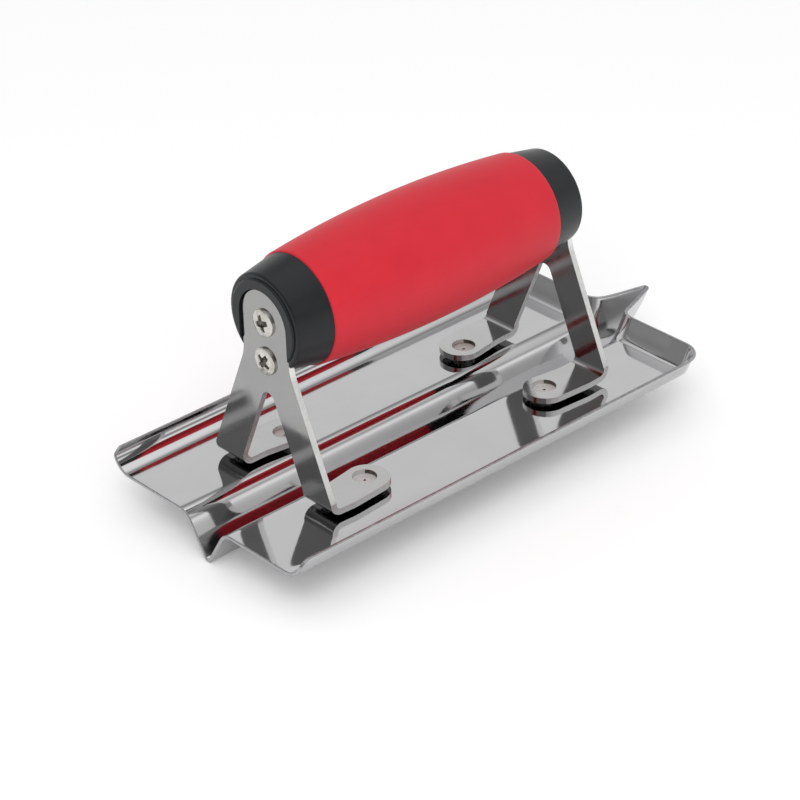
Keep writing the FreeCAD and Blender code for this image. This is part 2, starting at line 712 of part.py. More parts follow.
def build():
    doc = FreeCAD.newDocument("hand_groover")
    place = Layout(make_sheet(doc))
    front, rear = Rotation(), Rotation(Z_DIR, 180)
    nodes = [make_blade(doc, place)]
    nodes.append(make_bracket(doc, place, "front_bracket", front))
    nodes.append(make_bracket(doc, place, "rear_bracket", rear))
    nodes.append(make_core(doc, place))
    nodes.append(make_sleeve(doc, place))
    for end, rotation in (("front", front), ("rear", rear)):
        nodes.append(make_screw(doc, place, f"{end}_upper_screw", place.axis_height, rotation))
        nodes.append(make_screw(doc, place, f"{end}_lower_screw", place.lower_screw, rotation))
    doc.recompute()
    check(doc, nodes)
    os.makedirs("parts", exist_ok=True)
    for node in nodes:
        node.Shape.exportStep(f"parts/{node.Label}.step")
        box = node.Shape.BoundBox
        print(f"{node.Label}: {node.Shape.Volume:.0f} mm3, x {box.XMin:.2f}..{box.XMax:.2f}, "
              f"y {box.YMin:.2f}..{box.YMax:.2f}, z {box.ZMin:.2f}..{box.ZMax:.2f}")


build()
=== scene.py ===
"""Looks of the hand groover: mirror-polished blade, bent steel brackets and a two-part soft grip.

The scene is in metres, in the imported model's frame: +X towards the spout, +Z up.  Sizes of the tool
are named in millimetres and scaled by MM.  "Front" is the cut end, and "rear" is the spout end.
"""
import math

import bmesh
import bpy
import numpy as np
from mathutils import Matrix, Vector


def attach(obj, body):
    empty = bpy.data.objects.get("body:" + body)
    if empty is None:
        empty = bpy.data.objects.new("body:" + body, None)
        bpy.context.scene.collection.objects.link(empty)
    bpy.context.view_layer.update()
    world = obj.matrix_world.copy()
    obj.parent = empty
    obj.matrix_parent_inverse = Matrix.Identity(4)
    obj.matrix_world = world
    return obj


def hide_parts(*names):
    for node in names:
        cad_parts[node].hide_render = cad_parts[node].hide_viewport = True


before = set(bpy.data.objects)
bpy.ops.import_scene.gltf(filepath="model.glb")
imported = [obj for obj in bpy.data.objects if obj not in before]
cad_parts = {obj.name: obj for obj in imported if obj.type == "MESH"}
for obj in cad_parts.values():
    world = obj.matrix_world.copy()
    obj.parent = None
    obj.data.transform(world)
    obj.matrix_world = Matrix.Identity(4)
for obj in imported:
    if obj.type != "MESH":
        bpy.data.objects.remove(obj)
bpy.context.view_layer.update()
MM = 0.001


# ---------------------------------------------------------------- camera and stage

CAMERA_AZIMUTH = math.radians(-42.02)
CAMERA_ELEVATION = math.radians(30.94)
CAMERA_ROLL = math.radians(-1.484)
CAMERA_DISTANCE = 804.8 * MM
CAMERA_TARGET = Vector((-8.65, 0, 11.5)) * MM
CAMERA_LENS = 131.67
CAMERA_SHIFT = (-0.0203, 0.0259)

KEY_PLACE = (-0.75, -0.75, 1.15)
KEY_TARGET = (0, 0, 0.04)
KEY_SIDE = 0.9
KEY_POWER = 9

FLOOR_GLOW = 0.12         # the floor is lit evenly from below, as a light table is
FLOOR_HALF = 6.0
FLOOR_DROP = 0.0001       # keeps the floor clear of the bottom edge of the bit

# The room's radiance: a stop is (height of the direction, from 0 straight down to 1 straight up, grey).
# A side is the direction in plan that a band is centred on, and a spread is where it fades in.
BACKDROP_SIDE = (0.67, 0.74, 0.0)
BACKDROP_SPREAD = (0.10, 0.45)
BACKDROP_STOPS = [(0.0, 0.80), (0.785, 0.80), (0.81, 0.30), (0.86, 0.36), (0.92, 1.0), (1.0, 1.15)]
FRONT_SIDE = (0.57, -0.82, 0.0)
FRONT_SPREAD = (0.35, 0.70)
FRONT_STOPS = [(0.0, 0.25), (0.48, 0.25), (0.515, 0.95), (0.57, 0.95), (0.615, 0.25), (0.665, 0.40),
               (0.705, 1.05), (0.75, 0.90), (0.80, 0.45), (0.92, 1.0), (1.0, 1.15)]
ROOM_STOPS = [(0.0, 0.28), (0.55, 0.30), (0.62, 0.26), (0.80, 0.34), (0.92, 1.0), (1.0, 1.15)]


def make_camera():
    """Camera at the catalogue view: from the cut end, a little above."""
    level = math.cos(CAMERA_ELEVATION)
    back = Vector((math.sin(CAMERA_AZIMUTH) * level, -math.cos(CAMERA_AZIMUTH) * level,
                   math.sin(CAMERA_ELEVATION)))
    right = Vector((math.cos(CAMERA_AZIMUTH), math.sin(CAMERA_AZIMUTH), 0))
    up = back.cross(right)
    turn = Matrix((right, up, back)).transposed() @ Matrix.Rotation(CAMERA_ROLL, 3, "Z")
    data = bpy.data.cameras.new("camera")
    data.lens = CAMERA_LENS
    data.sensor_width = 36
    data.shift_x, data.shift_y = CAMERA_SHIFT
    data.clip_start, data.clip_end = 0.05, 50
    camera = bpy.data.objects.new("camera", data)
    camera.matrix_world = Matrix.Translation(CAMERA_TARGET + back * CAMERA_DISTANCE) @ turn.to_4x4()
    bpy.context.scene.collection.objects.link(camera)
    bpy.context.scene.camera = camera


def make_key_light():
    """Softbox over the near side; the polished faces don't reflect it."""
    data = bpy.data.lights.new("key_softbox", "AREA")
    data.shape = "RECTANGLE"
    data.size = data.size_y = KEY_SIDE
    data.energy = KEY_POWER
    light = bpy.data.objects.new("key_softbox", data)
    light.location = KEY_PLACE
    light.rotation_euler = (Vector(KEY_TARGET) - Vector(KEY_PLACE)).to_track_quat("-Z", "Y").to_euler()
    light.visible_glossy = False
    bpy.context.scene.collection.objects.link(light)


def grey_ramp(nodes, stops):
    """Colour ramp through grey stops of (position, grey)."""
    node = nodes.new("ShaderNodeValToRGB")
    elements = node.color_ramp.elements
    elements[0].position, elements[1].position = stops[0][0], stops[-1][0]
    for position, _ in stops[1:-1]:
        elements.new(position)
    for element, (_, grey) in zip(elements, stops):
        element.color = (grey, grey, grey, 1)
    return node


def make_world():
    """Dim room with a bright ceiling, a bright backdrop behind the spout and bright bands in front."""
    world = bpy.data.worlds.new("studio")
    bpy.context.scene.world = world
    world.use_nodes = True
    nodes, links = world.node_tree.nodes, world.node_tree.links
    nodes.clear()
    output = nodes.new("ShaderNodeOutputWorld")
    background = nodes.new("ShaderNodeBackground")
    direction = nodes.new("ShaderNodeTexCoord").outputs["Generated"]
    split = nodes.new("ShaderNodeSeparateXYZ")
    height = nodes.new("ShaderNodeMapRange")
    height.inputs["From Min"].default_value = -1
    links.new(direction, split.inputs["Vector"])
    links.new(split.outputs["Z"], height.inputs["Value"])
    room = grey_ramp(nodes, ROOM_STOPS)
    links.new(height.outputs["Result"], room.inputs["Fac"])
    radiance = room.outputs["Color"]
    for side, spread, stops in ((FRONT_SIDE, FRONT_SPREAD, FRONT_STOPS),
                                (BACKDROP_SIDE, BACKDROP_SPREAD, BACKDROP_STOPS)):
        facing = nodes.new("ShaderNodeVectorMath")
        facing.operation = "DOT_PRODUCT"
        facing.inputs[1].default_value = side
        share = nodes.new("ShaderNodeMapRange")
        share.interpolation_type = "SMOOTHSTEP"
        share.inputs["From Min"].default_value, share.inputs["From Max"].default_value = spread
        ramp = grey_ramp(nodes, stops)
        mix = nodes.new("ShaderNodeMix")
        mix.data_type = "RGBA"
        links.new(direction, facing.inputs[0])
        links.new(facing.outputs["Value"], share.inputs["Value"])
        links.new(height.outputs["Result"], ramp.inputs["Fac"])
        links.new(share.outputs["Result"], mix.inputs["Factor"])
        below, above = [i for i in mix.inputs if i.type == "RGBA"]
        links.new(radiance, below)
        links.new(ramp.outputs["Color"], above)
        radiance = [o for o in mix.outputs if o.type == "RGBA"][0]
    links.new(radiance, background.inputs["Color"])
    links.new(background.outputs["Background"], output.inputs["Surface"])


def make_floor():
    """White ground under the tool."""
    material = bpy.data.materials.new("floor_white")
    material.use_nodes = True
    shader = material.node_tree.nodes["Principled BSDF"]
    shader.inputs["Base Color"].default_value = (0.93, 0.93, 0.93, 1)
    shader.inputs["Roughness"].default_value = 0.9
    shader.inputs["Specular IOR Level"].default_value = 0.1
    shader.inputs["Emission Color"].default_value = (1, 1, 1, 1)
    shader.inputs["Emission Strength"].default_value = FLOOR_GLOW
    mesh = bpy.data.meshes.new("floor")
    corners = [(-FLOOR_HALF, -FLOOR_HALF, 0), (FLOOR_HALF, -FLOOR_HALF, 0),
               (FLOOR_HALF, FLOOR_HALF, 0), (-FLOOR_HALF, FLOOR_HALF, 0)]
    mesh.from_pydata(corners, [], [(0, 1, 2, 3)])
    mesh.materials.append(material)
    floor = bpy.data.objects.new("floor", mesh)
    floor.location.z = -FLOOR_DROP
    bpy.context.scene.collection.objects.link(floor)


# ---------------------------------------------------------------- materials

NOISE_LOW, NOISE_HIGH = 0.3, 0.7      # most of a noise texture's values lie between these


class Maker:
    """A material with a Principled shader and a few helpers to wire procedural detail to it."""

    def __init__(self, name, color, metallic, roughness):
        self.material = bpy.data.materials.new(name)
        self.material.use_nodes = True
        tree = self.material.node_tree
        self.nodes, self.links = tree.nodes, tree.links
        self.shader = self.nodes["Principled BSDF"]
        self.shader.inputs["Base Color"].default_value = (*color, 1)
        self.shader.inputs["Metallic"].default_value = metallic
        self.shader.inputs["Roughness"].default_value = roughness
        self.coords = self.nodes.new("ShaderNodeTexCoord").outputs["Object"]

    def stretched(self, scale):
        """Object coordinates scaled by axis."""
        mapping = self.nodes.new("ShaderNodeMapping")
        mapping.inputs["Scale"].default_value = scale
        self.links.new(self.coords, mapping.inputs["Vector"])
        return mapping.outputs["Vector"]

    def noise(self, scale, detail, vector=None):
        """Cloudy value, mostly between 0.3 and 0.7."""
        noise = self.nodes.new("ShaderNodeTexNoise")
        noise.inputs["Scale"].default_value = scale
        noise.inputs["Detail"].default_value = detail
        self.links.new(vector or self.coords, noise.inputs["Vector"])
        return noise.outputs["Fac"]

    def spread(self, value, low, high, start=NOISE_LOW, end=NOISE_HIGH):
        """Value remapped to a range."""
        remap = self.nodes.new("ShaderNodeMapRange")
        remap.inputs["From Min"].default_value = start
        remap.inputs["From Max"].default_value = end
        remap.inputs["To Min"].default_value = low
        remap.inputs["To Max"].default_value = high
        self.links.new(value, remap.inputs["Value"])
        return remap.outputs["Result"]

    def tint(self, value, dark, light):
        """Base colour between two tones."""
        ramp = self.nodes.new("ShaderNodeValToRGB")
        ramp.color_ramp.elements[0].position = NOISE_LOW
        ramp.color_ramp.elements[0].color = (*dark, 1)
        ramp.color_ramp.elements[1].position = NOISE_HIGH
        ramp.color_ramp.elements[1].color = (*light, 1)
        self.links.new(value, ramp.inputs["Fac"])
        self.links.new(ramp.outputs["Color"], self.shader.inputs["Base Color"])

    def paint_shade_by_facing(self, stops):
        """Painted light and shade: scale the base colour by how far the surface faces up; a stop is (height
        of normal, grey).
        """
        geometry = self.nodes.new("ShaderNodeNewGeometry")
        split = self.nodes.new("ShaderNodeSeparateXYZ")
        self.links.new(geometry.outputs["Normal"], split.inputs["Vector"])
        position = self.spread(split.outputs["Z"], 0, 1, -1, 1)
        ramp = grey_ramp(self.nodes, [((height + 1) / 2, grey) for height, grey in stops])
        self.links.new(position, ramp.inputs["Fac"])
        product = self.nodes.new("ShaderNodeVectorMath")
        product.operation = "MULTIPLY"
        base = self.shader.inputs["Base Color"]
        self.links.new(base.links[0].from_socket, product.inputs[0])
        self.links.new(ramp.outputs["Color"], product.inputs[1])
        self.links.new(product.outputs["Vector"], base)

    def add(self, first, second):
        """Sum of two values."""
        node = self.nodes.new("ShaderNodeMath")
        node.operation = "ADD"
        self.links.new(first, node.inputs[0])
        self.links.new(second, node.inputs[1])
        return node.outputs["Value"]

    def bump(self, height, strength, distance):
        """Relief from a value."""
        bump = self.nodes.new("ShaderNodeBump")
        bump.inputs["Strength"].default_value = strength
        bump.inputs["Distance"].default_value = distance
        self.links.new(height, bump.inputs["Height"])
        self.links.new(bump.outputs["Normal"], self.shader.inputs["Normal"])

    def roughness(self, value):
        """Roughness from a value."""
        self.links.new(value, self.shader.inputs["Roughness"])


def polished_steel():
    """Mirror-polished sheet: faint buffing lines along the blade and a little haze, with painted shade on
    faces that look down.
    """
    m = Maker("polished_steel", (0.62, 0.62, 0.63), 1.0, 0.05)
    buffing = m.noise(60, 4, m.stretched((4, 60, 60)))
    haze = m.noise(45, 3)
    m.tint(haze, (0.60, 0.60, 0.61), (0.64, 0.64, 0.645))
    # Painted shade: faces that look down get a darker base colour, in place of a darker reflection of what
    # lies below.
    m.paint_shade_by_facing([(-1.0, 0.70), (-0.12, 0.76), (0.04, 1.0)])
    m.roughness(m.add(m.spread(buffing, 0.0, 0.03), m.spread(haze, 0.035, 0.06)))
    m.bump(buffing, 0.04, 0.00002)
    return m.material


def bracket_steel():
    """Satin strip: fine grain along its length and soft smudges, with painted light on faces that look up
    and painted shade on faces that look sideways or down.
    """
    m = Maker("bracket_steel", (0.41, 0.41, 0.41), 1.0, 0.1)
    grain = m.noise(420, 5, m.stretched((1, 1, 0.06)))
    smudge = m.noise(90, 3)
    m.tint(smudge, (0.56, 0.558, 0.554), (0.61, 0.608, 0.604))
    # Painted light and shade: the feet's tops are lightest, the upright tab and legs darker and the
    # undersides darkest.
    m.paint_shade_by_facing([(-1.0, 0.40), (-0.15, 0.42), (0.0, 0.58), (0.6, 0.66), (0.97, 1.0)])
    m.roughness(m.add(m.spread(grain, 0.0, 0.04), m.spread(smudge, 0.07, 0.11)))
    m.bump(grain, 0.02, 0.00001)
    return m.material


def sheared_edge(name, dark, light):
    """Cut edge of a sheet or strip: rougher than its faces, in the tones given; the strips' light tones are
    a painted highlight.
    """
    m = Maker(name, light, 1.0, 0.35)
    tear = m.noise(900, 4)
    m.tint(tear, dark, light)
    m.roughness(m.spread(tear, 0.26, 0.42))
    m.bump(tear, 0.12, 0.00004)
    return m.material


def screw_steel():
    """Bright nickel-plated screw with a little patchy tarnish; the dark inside of its recess is painted
    shade from another material.
    """
    m = Maker("screw_steel", (0.62, 0.60, 0.56), 1.0, 0.2)
    tarnish = m.noise(500, 4)
    m.tint(tarnish, (0.42, 0.40, 0.36), (0.72, 0.70, 0.66))
    m.roughness(m.spread(tarnish, 0.13, 0.3))
    m.bump(tarnish, 0.1, 0.00004)
    return m.material


def weld_mark():
    """Bottom of a weld recess: pressed and heated, so matt."""
    m = Maker("weld_mark", (0.6, 0.6, 0.59), 0.0, 0.6)
    scale = m.noise(700, 4)
    m.tint(scale, (0.56, 0.56, 0.55), (0.66, 0.66, 0.65))
    m.roughness(m.spread(scale, 0.42, 0.58))
    m.bump(scale, 0.15, 0.00004)
    return m.material


def painted_recess_shade():
    """Painted shade for hollows: a dark metal for the inside of the screws' cross recesses and the walls
    and dimples of the weld recesses.
    """
    m = Maker("painted_recess_shade", (0.10, 0.09, 0.075), 1.0, 0.4)
    recess_shade = m.noise(900, 4)
    m.tint(recess_shade, (0.05, 0.045, 0.04), (0.22, 0.20, 0.17))
    m.roughness(m.spread(recess_shade, 0.25, 0.5))
    m.bump(recess_shade, 0.12, 0.00004)
    return m.material


def black_plastic():
    """Hard moulded core: near black with a fine spark-eroded grain."""
    m = Maker("black_plastic", (0.011, 0.0125, 0.014), 0.0, 0.4)
    m.shader.inputs["Specular IOR Level"].default_value = 0.3
    grain = m.noise(2600, 4)
    cloud = m.noise(120, 2)
    m.tint(cloud, (0.008, 0.0095, 0.011), (0.011, 0.0125, 0.014))
    m.roughness(m.add(m.spread(grain, 0.0, 0.06), m.spread(cloud, 0.26, 0.34)))
    m.bump(grain, 0.12, 0.00003)
    return m.material


def red_rubber():
    """Soft-touch overmould: saturated red, matt, with a fine skin."""
    m = Maker("red_rubber", (0.62, 0.018, 0.033), 0.0, 0.5)
    m.shader.inputs["Specular IOR Level"].default_value = 0.25
    m.shader.inputs["Sheen Weight"].default_value = 0.08
    m.shader.inputs["Sheen Roughness"].default_value = 0.45
    m.shader.inputs["Sheen Tint"].default_value = (1.0, 0.75, 0.75, 1)
    skin = m.noise(3000, 4)
    cloud = m.noise(90, 3)
    m.tint(cloud, (0.60, 0.016, 0.031), (0.64, 0.021, 0.036))
    m.roughness(m.add(m.spread(skin, 0.0, 0.08), m.spread(cloud, 0.42, 0.5)))
    m.bump(skin, 0.15, 0.00004)
    return m.material


# ---------------------------------------------------------------- mesh helpers

MERGE_DISTANCE = 1e-7     # vertices closer than this are one
FLAT_DEGREES = 0.4        # faces within this angle are joined
BEVEL_DEGREES = 28        # edges sharper than this are rounded
BEVEL_STEPS = 3
BEVEL_SHARP_DEGREES = 35  # edges sharper than this stay sharp in a softened copy
TURNED_SHARP_DEGREES = 40
SHEET_SHARP_DEGREES = 60


def new_piece(name, mesh, node, material):
    """Put a mesh in the scene in place of a CAD node."""
    mesh.materials.clear()
    mesh.materials.append(material)
    piece = bpy.data.objects.new(name, mesh)
    bpy.context.scene.collection.objects.link(piece)
    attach(piece, "root")
    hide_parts(node)
    return piece


def shade_smooth(mesh, sharp_degrees):
    """Smooth shading that breaks at sharp edges."""
    mesh.polygons.foreach_set("use_smooth", [True] * len(mesh.polygons))
    mesh.set_sharp_from_angle(angle=math.radians(sharp_degrees))


def outward(mesh):
    """Turn all faces of a closed mesh outward."""
    bm = bmesh.new()
    bm.from_mesh(mesh)
    bmesh.ops.recalc_face_normals(bm, faces=bm.faces)
    bm.to_mesh(mesh)
    bm.free()


def weigh_normals(piece):
    """Large flat faces keep their own normal beside a rounded edge."""
    weighted = piece.modifiers.new("weighted_normals", "WEIGHTED_NORMAL")
    weighted.weight = 100
    weighted.keep_sharp = True


def extra_material(mesh, material, belongs):
    """Give another material to the faces whose centre and normal pass a test."""
    mesh.materials.append(material)
    for face in mesh.polygons:
        if belongs(face.center, face.normal):
            face.material_index = len(mesh.materials) - 1


def softened_copy(name, node, material, width):
    """The CAD node's own shape with every sharp edge rounded over."""
    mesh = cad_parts[node].data.copy()
    mesh.name = name
    bm = bmesh.new()
    bm.from_mesh(mesh)
    bmesh.ops.remove_doubles(bm, verts=bm.verts, dist=MERGE_DISTANCE)
    bmesh.ops.dissolve_limit(bm, angle_limit=math.radians(FLAT_DEGREES), verts=bm.verts, edges=bm.edges)
    sharp = [e for e in bm.edges if e.is_manifold and e.calc_face_angle(0) > math.radians(BEVEL_DEGREES)]
    bmesh.ops.bevel(bm, geom=sharp, offset=width, segments=BEVEL_STEPS, profile=0.5, affect="EDGES",
                    clamp_overlap=True, miter_outer="ARC")
    bm.to_mesh(mesh)
    bm.free()
    if "custom_normal" in mesh.attributes:
        mesh.attributes.remove(mesh.attributes["custom_normal"])
    shade_smooth(mesh, BEVEL_SHARP_DEGREES)
    piece = new_piece(name, mesh, node, material)
    weigh_normals(piece)
    return piece


# ---------------------------------------------------------------- blade

# Driving sizes of the pressed sheet in mm; x starts at the middle of the plate, heights at the sole.
PLATE_LENGTH = 150.0
PLATE_WIDTH = 77.6
GAUGE = 1.0
BIT_DEPTH = 11.5
BIT_WALL = math.radians(58.4)
BIT_TIP_RADIUS = 1.6
BIT_SHOULDER_RADIUS = 4.5
LIP_RADIUS = 6.6
LIP_RISE = 6.6
END_RISE = 7.3
END_LEAN = math.radians(70.0)
CUT_CORNER_RADIUS = 2.5
CORNER_RADIUS = 6.5
SPOUT_REACH = 17.3
SPOUT_TAPER = math.radians(18.3)
SPOUT_TIP_RADIUS = 1.5
SPOUT_ROOT_RADIUS = 6.0
SPOUT_RIM_DIP = 0.9
EDGE_ROUND = 0.3          # how far the sheet's rounded edge stands out from its faces
EDGE_FULLNESS = 0.7       # a circle is 1, and a squarer edge is less
EDGE_TURN = (-62, -36, -12, 12, 36, 62)   # degrees round the edge from its middle

# Control points of the spline surface along each stretch of the section and of the rim.
ARC_STEPS = {"tip": 5, "shoulder": 6, "lip": 9}
LINE_STEPS = {"wall": 4, "wing": 5}
NOSE_STEPS = 14
STRAIGHT_STEPS = 3
SECTION_SAMPLES = 4       # mesh rows in each knot span
LENGTH_SAMPLES = 5
CUT_SAMPLES = 16          # mesh columns in the span beside the cut end, where the corner rounds off

# How the closed end rises: a run is how long before its rim a line starts to rise, and an ease is how
# far it keeps its heading at the start and at the rim.
FOLD_RUN = 2.6
FOLD_EASE = (2.1, 5.6)
KEEL_RUN = 30.0
KEEL_EASE = (14.0, 7.6)
CORNER_RUN = 5.5
CORNER_EASE = (1.8, 1.8)


def arc(centre, radius, start, end, steps):
    """Points (a, b) and outward directions along an arc, ends included."""
    angles = np.linspace(start, end, steps + 1)
    return [(centre[0] + radius * math.cos(a), centre[1] + radius * math.sin(a), (math.cos(a), math.sin(a)))
            for a in angles]


def line(start, end, out, steps):
    """Inner points of a line."""
    shares = np.linspace(0, 1, steps + 1)[1:-1]
    return [(start[0] + (end[0] - start[0]) * s, start[1] + (end[1] - start[1]) * s, out) for s in shares]


def half_section():
    """Sole side from the bottom edge of the bit to a side lip: (y, height)."""
    quarter = math.pi / 2
    tip = arc((0, BIT_TIP_RADIUS - BIT_DEPTH), BIT_TIP_RADIUS, -quarter, BIT_WALL - quarter,
              ARC_STEPS["tip"])
    drop = BIT_SHOULDER_RADIUS * (1 - math.cos(BIT_WALL))
    wall_end = tip[-1][0] + (-drop - tip[-1][1]) / math.tan(BIT_WALL)
    shoulder_y = wall_end + BIT_SHOULDER_RADIUS * math.sin(BIT_WALL)
    shoulder = arc((shoulder_y, -BIT_SHOULDER_RADIUS), BIT_SHOULDER_RADIUS, quarter + BIT_WALL, quarter,
                   ARC_STEPS["shoulder"])
    sweep = math.acos(1 - LIP_RISE / LIP_RADIUS)
    lip_y = PLATE_WIDTH / 2 - LIP_RADIUS * math.sin(sweep)
    lip = arc((lip_y, LIP_RADIUS), LIP_RADIUS, -quarter, sweep - quarter, ARC_STEPS["lip"])
    return (tip + line(tip[-1], shoulder[0], None, LINE_STEPS["wall"]) + shoulder
            + line(shoulder[-1], lip[0], None, LINE_STEPS["wing"]) + lip)


def half_rim():
    """Top edge of the closed end in plan from the spout tip to a side lip: (x, y, outward)."""
    lip_x = PLATE_LENGTH / 2
    side = (math.sin(SPOUT_TAPER), math.cos(SPOUT_TAPER))
    tip = arc((lip_x + SPOUT_REACH - SPOUT_TIP_RADIUS, 0), SPOUT_TIP_RADIUS, 0, math.pi / 2 - SPOUT_TAPER,
              ARC_STEPS["tip"])
    root_x = lip_x + SPOUT_ROOT_RADIUS
    along = (tip[-1][0] - root_x + SPOUT_ROOT_RADIUS * side[0]) / side[1]
    root_y = tip[-1][1] + along * side[0] + SPOUT_ROOT_RADIUS * side[1]
    root = arc((root_x, root_y), SPOUT_ROOT_RADIUS, 1.5 * math.pi - SPOUT_TAPER, math.pi,
               ARC_STEPS["shoulder"])
    root = [(x, y, (-out[0], -out[1])) for x, y, out in root]
    corner = arc((lip_x - CORNER_RADIUS, PLATE_WIDTH / 2 - CORNER_RADIUS), CORNER_RADIUS, 0, math.pi / 2,
                 ARC_STEPS["lip"])
    return (tip + line(tip[-1], root[0], side, LINE_STEPS["wall"]) + root
            + line(root[-1], corner[0], (1, 0), LINE_STEPS["wing"]) + corner)


def rim_height(x, y):
    """Height of the rim: the end lip's, a dip beside the spout, and the side lip's round the corner."""
    corner = min(max(0.0, (y - PLATE_WIDTH / 2 + CORNER_RADIUS) / CORNER_RADIUS), 1.0)
    ease = corner * corner * (3 - 2 * corner)
    beyond = max(0.0, x - PLATE_LENGTH / 2) / SPOUT_ROOT_RADIUS
    return END_RISE + (LIP_RISE - END_RISE) * ease - SPOUT_RIM_DIP * beyond * math.exp(1 - beyond)


def nose_curve(section_point, rim_point):
    """One line of the sole side from the straight run up to the rim."""
    y, height = section_point[:2]
    rim_x, rim_y, out = rim_point
    lip_x = PLATE_LENGTH / 2
    depth = min(max(-height / BIT_DEPTH, 0.0), 1.0)
    side = min(max(height / LIP_RISE, 0.0), 1.0)
    start_x = lip_x - END_RISE / math.tan(END_LEAN) - FOLD_RUN
    start_x += (lip_x + SPOUT_REACH - KEEL_RUN - start_x) * depth
    start_x += (lip_x - CORNER_RADIUS - CORNER_RUN - start_x) * side
    ease = [fold + (keel - fold) * depth for fold, keel in zip(FOLD_EASE, KEEL_EASE)]
    ease = [e + (corner - e) * side for e, corner in zip(ease, CORNER_EASE)]
    heading = np.array([out[0] * math.cos(END_LEAN), out[1] * math.cos(END_LEAN), math.sin(END_LEAN)])
    heading = heading * (1 - side) + np.array([1.0, 0, 0]) * side
    heading /= np.linalg.norm(heading)
    start = np.array([start_x, y, height])
    end = np.array([rim_x, rim_y, rim_height(rim_x, rim_y)])
    poles = [start, start + np.array([ease[0], 0, 0]), end - heading * ease[1], end]
    shares = np.linspace(0, 1, NOSE_STEPS + 1)[:, None]
    rest = 1 - shares
    return (rest ** 3 * poles[0] + 3 * rest ** 2 * shares * poles[1] + 3 * rest * shares ** 2 * poles[2]
            + shares ** 3 * poles[3])


def cut_setback(height):
    """How far the rounded corner of the cut end draws back a point of the side lip."""
    lean = math.acos(1 - LIP_RISE / LIP_RADIUS)
    here = math.acos(1 - max(height, 0.0) / LIP_RADIUS)
    inward = max(0.0, CUT_CORNER_RADIUS - (lean - here) * LIP_RADIUS)
    return CUT_CORNER_RADIUS - math.sqrt(CUT_CORNER_RADIUS ** 2 - inward ** 2)


def sole_net():
    """Control net of the sole side, shaped (section, length, 3)."""
    half = []
    for section_point, rim_point in zip(half_section(), half_rim()):
        nose = nose_curve(section_point, rim_point)
        cut = np.array([cut_setback(nose[0][2]) - PLATE_LENGTH / 2, nose[0][1], nose[0][2]])
        shares = np.arange(STRAIGHT_STEPS)[:, None] / STRAIGHT_STEPS
        half.append(np.vstack([cut + (nose[0] - cut) * shares, nose]))
    half = np.array(half)
    return np.concatenate([half[:0:-1] * (1, -1, 1), half])


def net_normals(net):
    """Upward normals at the control points, from the side that faces the sole."""
    across = np.empty_like(net)
    across[1:-1] = net[2:] - net[:-2]
    across[0], across[-1] = net[1] - net[0], net[-1] - net[-2]
    along = np.empty_like(net)
    along[:, 1:-1] = net[:, 2:] - net[:, :-2]
    along[:, 0], along[:, -1] = net[:, 1] - net[:, 0], net[:, -1] - net[:, -2]
    normals = np.cross(along, across)
    return normals / np.linalg.norm(normals, axis=2, keepdims=True)


def spline_basis(count, parameters):
    """Cubic B-spline weights for a clamped run of control points with even knots."""
    degree = 3
    last = count - degree
    knots = np.concatenate([np.zeros(degree), np.arange(last + 1), np.full(degree, last)])
    weights = np.zeros((len(parameters), len(knots) - 1))
    spans = np.minimum(parameters.astype(int), last - 1) + degree
    weights[np.arange(len(parameters)), spans] = 1
    for order in range(1, degree + 1):
        raised = np.zeros((len(parameters), len(knots) - 1 - order))
        for i in range(raised.shape[1]):
            rise, fall = knots[i + order] - knots[i], knots[i + order + 1] - knots[i + 1]
            if rise:
                raised[:, i] += (parameters - knots[i]) / rise * weights[:, i]
            if fall:
                raised[:, i] += (knots[i + order + 1] - parameters) / fall * weights[:, i + 1]
        weights = raised
    return weights


def span_samples(spans, per_span, first=None):
    """Parameters over a number of knot spans, with their own count in the first span."""
    whole = [np.linspace(k, k + 1, per_span, endpoint=False) for k in range(spans)]
    if first:
        whole[0] = np.linspace(0, 1, first, endpoint=False)
    return np.append(np.concatenate(whole), float(spans))


def edge_ring(rows, columns):
    """Grid places (row, column) once round the edge of a grid."""
    return ([(row, 0) for row in range(rows - 1)]
            + [(rows - 1, column) for column in range(columns - 1)]
            + [(row, columns - 1) for row in range(rows - 1, 0, -1)]
            + [(0, column) for column in range(columns - 1, 0, -1)])


def edge_directions(low, high):
    """Unit directions in the sheet's surface, out of its edge."""
    tangent = np.roll(low, -1, axis=0) - np.roll(low, 1, axis=0)
    out = np.cross(tangent, high - low)
    out /= np.linalg.norm(out, axis=1, keepdims=True)
    return out if np.sum(low * out) > 0 else -out


